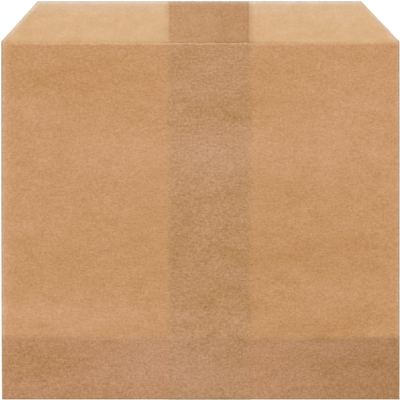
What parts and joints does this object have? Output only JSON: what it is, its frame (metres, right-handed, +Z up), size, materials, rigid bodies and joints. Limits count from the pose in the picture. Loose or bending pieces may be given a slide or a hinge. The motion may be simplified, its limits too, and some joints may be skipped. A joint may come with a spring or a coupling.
{
  "type": "flat paper bag",
  "caption": "Square brown kraft paper bag lying flat: glued back seam, turned-up bottom and an open mouth whose back panel stands past the front one as a lip with cut corners.",
  "frame": {"origin": "under the middle of the bag, on the surface that it lies on", "axes": "+Y from the turned-up bottom towards the mouth, +X to the right seen from above the front panel, +Z up out of the front panel"},
  "size_m": [0.178, 0.178, 0.0021],
  "materials": {
    "kraft_paper": "matte"
  },
  "bodies": {
    "root": {"paper_bag": "kraft_paper"}
  },
  "joints": []
}
